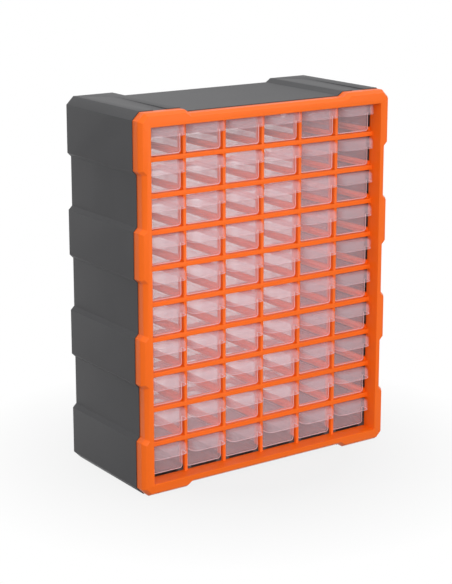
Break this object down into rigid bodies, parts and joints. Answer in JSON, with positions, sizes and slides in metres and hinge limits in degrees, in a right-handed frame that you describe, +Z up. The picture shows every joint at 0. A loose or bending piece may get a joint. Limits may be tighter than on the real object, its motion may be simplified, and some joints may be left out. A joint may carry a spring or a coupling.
{
  "type": "parts bin cabinet",
  "caption": "Small parts cabinet: a notched stackable housing with a coloured front frame and a grid of clear drawers that slide out by hooded lips; keyholes in the back for wall hanging.",
  "frame": {"origin": "middle of the underside of the two feet, halfway between the face of the front frame and the back panel", "axes": "+Z up, -Y to the front (the drawers slide out along -Y), +X to the right seen from behind the origin looking along +Y"},
  "size_m": [0.38, 0.172, 0.475],
  "materials": {
    "frame_plastic": "orange moulded polystyrene, low satin gloss",
    "housing_plastic": "black moulded polystyrene, fine matt grain",
    "drawer_plastic": "clear moulded polystyrene, smooth"
  },
  "bodies": {
    "cabinet": {"front_frame": "frame_plastic", "housing_shell": "housing_plastic", "back_panel": "housing_plastic", "shelves": "frame_plastic"},
    "drawer_row1_col1": {"drawer_row1_col1": "drawer_plastic"},
    "drawer_row1_col2": {"drawer_row1_col2": "drawer_plastic"},
    "drawer_row1_col3": {"drawer_row1_col3": "drawer_plastic"},
    "drawer_row1_col4": {"drawer_row1_col4": "drawer_plastic"},
    "drawer_row1_col5": {"drawer_row1_col5": "drawer_plastic"},
    "drawer_row1_col6": {"drawer_row1_col6": "drawer_plastic"},
    "drawer_row2_col1": {"drawer_row2_col1": "drawer_plastic"},
    "drawer_row2_col2": {"drawer_row2_col2": "drawer_plastic"},
    "drawer_row2_col3": {"drawer_row2_col3": "drawer_plastic"},
    "drawer_row2_col4": {"drawer_row2_col4": "drawer_plastic"},
    "drawer_row2_col5": {"drawer_row2_col5": "drawer_plastic"},
    "drawer_row2_col6": {"drawer_row2_col6": "drawer_plastic"},
    "drawer_row3_col1": {"drawer_row3_col1": "drawer_plastic"},
    "drawer_row3_col2": {"drawer_row3_col2": "drawer_plastic"},
    "drawer_row3_col3": {"drawer_row3_col3": "drawer_plastic"},
    "drawer_row3_col4": {"drawer_row3_col4": "drawer_plastic"},
    "drawer_row3_col5": {"drawer_row3_col5": "drawer_plastic"},
    "drawer_row3_col6": {"drawer_row3_col6": "drawer_plastic"},
    "drawer_row4_col1": {"drawer_row4_col1": "drawer_plastic"},
    "drawer_row4_col2": {"drawer_row4_col2": "drawer_plastic"},
    "drawer_row4_col3": {"drawer_row4_col3": "drawer_plastic"},
    "drawer_row4_col4": {"drawer_row4_col4": "drawer_plastic"},
    "drawer_row4_col5": {"drawer_row4_col5": "drawer_plastic"},
    "drawer_row4_col6": {"drawer_row4_col6": "drawer_plastic"},
    "drawer_row5_col1": {"drawer_row5_col1": "drawer_plastic"},
    "drawer_row5_col2": {"drawer_row5_col2": "drawer_plastic"},
    "drawer_row5_col3": {"drawer_row5_col3": "drawer_plastic"},
    "drawer_row5_col4": {"drawer_row5_col4": "drawer_plastic"},
    "drawer_row5_col5": {"drawer_row5_col5": "drawer_plastic"},
    "drawer_row5_col6": {"drawer_row5_col6": "drawer_plastic"},
    "drawer_row6_col1": {"drawer_row6_col1": "drawer_plastic"},
    "drawer_row6_col2": {"drawer_row6_col2": "drawer_plastic"},
    "drawer_row6_col3": {"drawer_row6_col3": "drawer_plastic"},
    "drawer_row6_col4": {"drawer_row6_col4": "drawer_plastic"},
    "drawer_row6_col5": {"drawer_row6_col5": "drawer_plastic"},
    "drawer_row6_col6": {"drawer_row6_col6": "drawer_plastic"},
    "drawer_row7_col1": {"drawer_row7_col1": "drawer_plastic"},
    "drawer_row7_col2": {"drawer_row7_col2": "drawer_plastic"},
    "drawer_row7_col3": {"drawer_row7_col3": "drawer_plastic"},
    "drawer_row7_col4": {"drawer_row7_col4": "drawer_plastic"},
    "drawer_row7_col5": {"drawer_row7_col5": "drawer_plastic"},
    "drawer_row7_col6": {"drawer_row7_col6": "drawer_plastic"},
    "drawer_row8_col1": {"drawer_row8_col1": "drawer_plastic"},
    "drawer_row8_col2": {"drawer_row8_col2": "drawer_plastic"},
    "drawer_row8_col3": {"drawer_row8_col3": "drawer_plastic"},
    "drawer_row8_col4": {"drawer_row8_col4": "drawer_plastic"},
    "drawer_row8_col5": {"drawer_row8_col5": "drawer_plastic"},
    "drawer_row8_col6": {"drawer_row8_col6": "drawer_plastic"},
    "drawer_row9_col1": {"drawer_row9_col1": "drawer_plastic"},
    "drawer_row9_col2": {"drawer_row9_col2": "drawer_plastic"},
    "drawer_row9_col3": {"drawer_row9_col3": "drawer_plastic"},
    "drawer_row9_col4": {"drawer_row9_col4": "drawer_plastic"},
    "drawer_row9_col5": {"drawer_row9_col5": "drawer_plastic"},
    "drawer_row9_col6": {"drawer_row9_col6": "drawer_plastic"},
    "drawers_row10": {"drawers_row10": "drawer_plastic"}
  },
  "joints": [
    {"name": "slide_row1_col1", "type": "slide", "parent": "cabinet", "child": "drawer_row1_col1", "axis": [0, -1, 0], "range_m": [0, 0.115]},
    {"name": "slide_row1_col2", "type": "slide", "parent": "cabinet", "child": "drawer_row1_col2", "axis": [0, -1, 0], "range_m": [0, 0.115]},
    {"name": "slide_row1_col3", "type": "slide", "parent": "cabinet", "child": "drawer_row1_col3", "axis": [0, -1, 0], "range_m": [0, 0.115]},
    {"name": "slide_row1_col4", "type": "slide", "parent": "cabinet", "child": "drawer_row1_col4", "axis": [0, -1, 0], "range_m": [0, 0.115]},
    {"name": "slide_row1_col5", "type": "slide", "parent": "cabinet", "child": "drawer_row1_col5", "axis": [0, -1, 0], "range_m": [0, 0.115]},
    {"name": "slide_row1_col6", "type": "slide", "parent": "cabinet", "child": "drawer_row1_col6", "axis": [0, -1, 0], "range_m": [0, 0.115]},
    {"name": "slide_row2_col1", "type": "slide", "parent": "cabinet", "child": "drawer_row2_col1", "axis": [0, -1, 0], "range_m": [0, 0.115]},
    {"name": "slide_row2_col2", "type": "slide", "parent": "cabinet", "child": "drawer_row2_col2", "axis": [0, -1, 0], "range_m": [0, 0.115]},
    {"name": "slide_row2_col3", "type": "slide", "parent": "cabinet", "child": "drawer_row2_col3", "axis": [0, -1, 0], "range_m": [0, 0.115]},
    {"name": "slide_row2_col4", "type": "slide", "parent": "cabinet", "child": "drawer_row2_col4", "axis": [0, -1, 0], "range_m": [0, 0.115]},
    {"name": "slide_row2_col5", "type": "slide", "parent": "cabinet", "child": "drawer_row2_col5", "axis": [0, -1, 0], "range_m": [0, 0.115]},
    {"name": "slide_row2_col6", "type": "slide", "parent": "cabinet", "child": "drawer_row2_col6", "axis": [0, -1, 0], "range_m": [0, 0.115]},
    {"name": "slide_row3_col1", "type": "slide", "parent": "cabinet", "child": "drawer_row3_col1", "axis": [0, -1, 0], "range_m": [0, 0.115]},
    {"name": "slide_row3_col2", "type": "slide", "parent": "cabinet", "child": "drawer_row3_col2", "axis": [0, -1, 0], "range_m": [0, 0.115]},
    {"name": "slide_row3_col3", "type": "slide", "parent": "cabinet", "child": "drawer_row3_col3", "axis": [0, -1, 0], "range_m": [0, 0.115]},
    {"name": "slide_row3_col4", "type": "slide", "parent": "cabinet", "child": "drawer_row3_col4", "axis": [0, -1, 0], "range_m": [0, 0.115]},
    {"name": "slide_row3_col5", "type": "slide", "parent": "cabinet", "child": "drawer_row3_col5", "axis": [0, -1, 0], "range_m": [0, 0.115]},
    {"name": "slide_row3_col6", "type": "slide", "parent": "cabinet", "child": "drawer_row3_col6", "axis": [0, -1, 0], "range_m": [0, 0.115]},
    {"name": "slide_row4_col1", "type": "slide", "parent": "cabinet", "child": "drawer_row4_col1", "axis": [0, -1, 0], "range_m": [0, 0.115]},
    {"name": "slide_row4_col2", "type": "slide", "parent": "cabinet", "child": "drawer_row4_col2", "axis": [0, -1, 0], "range_m": [0, 0.115]},
    {"name": "slide_row4_col3", "type": "slide", "parent": "cabinet", "child": "drawer_row4_col3", "axis": [0, -1, 0], "range_m": [0, 0.115]},
    {"name": "slide_row4_col4", "type": "slide", "parent": "cabinet", "child": "drawer_row4_col4", "axis": [0, -1, 0], "range_m": [0, 0.115]},
    {"name": "slide_row4_col5", "type": "slide", "parent": "cabinet", "child": "drawer_row4_col5", "axis": [0, -1, 0], "range_m": [0, 0.115]},
    {"name": "slide_row4_col6", "type": "slide", "parent": "cabinet", "child": "drawer_row4_col6", "axis": [0, -1, 0], "range_m": [0, 0.115]},
    {"name": "slide_row5_col1", "type": "slide", "parent": "cabinet", "child": "drawer_row5_col1", "axis": [0, -1, 0], "range_m": [0, 0.115]},
    {"name": "slide_row5_col2", "type": "slide", "parent": "cabinet", "child": "drawer_row5_col2", "axis": [0, -1, 0], "range_m": [0, 0.115]},
    {"name": "slide_row5_col3", "type": "slide", "parent": "cabinet", "child": "drawer_row5_col3", "axis": [0, -1, 0], "range_m": [0, 0.115]},
    {"name": "slide_row5_col4", "type": "slide", "parent": "cabinet", "child": "drawer_row5_col4", "axis": [0, -1, 0], "range_m": [0, 0.115]},
    {"name": "slide_row5_col5", "type": "slide", "parent": "cabinet", "child": "drawer_row5_col5", "axis": [0, -1, 0], "range_m": [0, 0.115]},
    {"name": "slide_row5_col6", "type": "slide", "parent": "cabinet", "child": "drawer_row5_col6", "axis": [0, -1, 0], "range_m": [0, 0.115]},
    {"name": "slide_row6_col1", "type": "slide", "parent": "cabinet", "child": "drawer_row6_col1", "axis": [0, -1, 0], "range_m": [0, 0.115]},
    {"name": "slide_row6_col2", "type": "slide", "parent": "cabinet", "child": "drawer_row6_col2", "axis": [0, -1, 0], "range_m": [0, 0.115]},
    {"name": "slide_row6_col3", "type": "slide", "parent": "cabinet", "child": "drawer_row6_col3", "axis": [0, -1, 0], "range_m": [0, 0.115]},
    {"name": "slide_row6_col4", "type": "slide", "parent": "cabinet", "child": "drawer_row6_col4", "axis": [0, -1, 0], "range_m": [0, 0.115]},
    {"name": "slide_row6_col5", "type": "slide", "parent": "cabinet", "child": "drawer_row6_col5", "axis": [0, -1, 0], "range_m": [0, 0.115]},
    {"name": "slide_row6_col6", "type": "slide", "parent": "cabinet", "child": "drawer_row6_col6", "axis": [0, -1, 0], "range_m": [0, 0.115]},
    {"name": "slide_row7_col1", "type": "slide", "parent": "cabinet", "child": "drawer_row7_col1", "axis": [0, -1, 0], "range_m": [0, 0.115]},
    {"name": "slide_row7_col2", "type": "slide", "parent": "cabinet", "child": "drawer_row7_col2", "axis": [0, -1, 0], "range_m": [0, 0.115]},
    {"name": "slide_row7_col3", "type": "slide", "parent": "cabinet", "child": "drawer_row7_col3", "axis": [0, -1, 0], "range_m": [0, 0.115]},
    {"name": "slide_row7_col4", "type": "slide", "parent": "cabinet", "child": "drawer_row7_col4", "axis": [0, -1, 0], "range_m": [0, 0.115]},
    {"name": "slide_row7_col5", "type": "slide", "parent": "cabinet", "child": "drawer_row7_col5", "axis": [0, -1, 0], "range_m": [0, 0.115]},
    {"name": "slide_row7_col6", "type": "slide", "parent": "cabinet", "child": "drawer_row7_col6", "axis": [0, -1, 0], "range_m": [0, 0.115]},
    {"name": "slide_row8_col1", "type": "slide", "parent": "cabinet", "child": "drawer_row8_col1", "axis": [0, -1, 0], "range_m": [0, 0.115]},
    {"name": "slide_row8_col2", "type": "slide", "parent": "cabinet", "child": "drawer_row8_col2", "axis": [0, -1, 0], "range_m": [0, 0.115]},
    {"name": "slide_row8_col3", "type": "slide", "parent": "cabinet", "child": "drawer_row8_col3", "axis": [0, -1, 0], "range_m": [0, 0.115]},
    {"name": "slide_row8_col4", "type": "slide", "parent": "cabinet", "child": "drawer_row8_col4", "axis": [0, -1, 0], "range_m": [0, 0.115]},
    {"name": "slide_row8_col5", "type": "slide", "parent": "cabinet", "child": "drawer_row8_col5", "axis": [0, -1, 0], "range_m": [0, 0.115]},
    {"name": "slide_row8_col6", "type": "slide", "parent": "cabinet", "child": "drawer_row8_col6", "axis": [0, -1, 0], "range_m": [0, 0.115]},
    {"name": "slide_row9_col1", "type": "slide", "parent": "cabinet", "child": "drawer_row9_col1", "axis": [0, -1, 0], "range_m": [0, 0.115]},
    {"name": "slide_row9_col2", "type": "slide", "parent": "cabinet", "child": "drawer_row9_col2", "axis": [0, -1, 0], "range_m": [0, 0.115]},
    {"name": "slide_row9_col3", "type": "slide", "parent": "cabinet", "child": "drawer_row9_col3", "axis": [0, -1, 0], "range_m": [0, 0.115]},
    {"name": "slide_row9_col4", "type": "slide", "parent": "cabinet", "child": "drawer_row9_col4", "axis": [0, -1, 0], "range_m": [0, 0.115]},
    {"name": "slide_row9_col5", "type": "slide", "parent": "cabinet", "child": "drawer_row9_col5", "axis": [0, -1, 0], "range_m": [0, 0.115]},
    {"name": "slide_row9_col6", "type": "slide", "parent": "cabinet", "child": "drawer_row9_col6", "axis": [0, -1, 0], "range_m": [0, 0.115]},
    {"name": "slides_row10", "type": "slide", "parent": "cabinet", "child": "drawers_row10", "axis": [0, -1, 0], "range_m": [0, 0.115]}
  ]
}
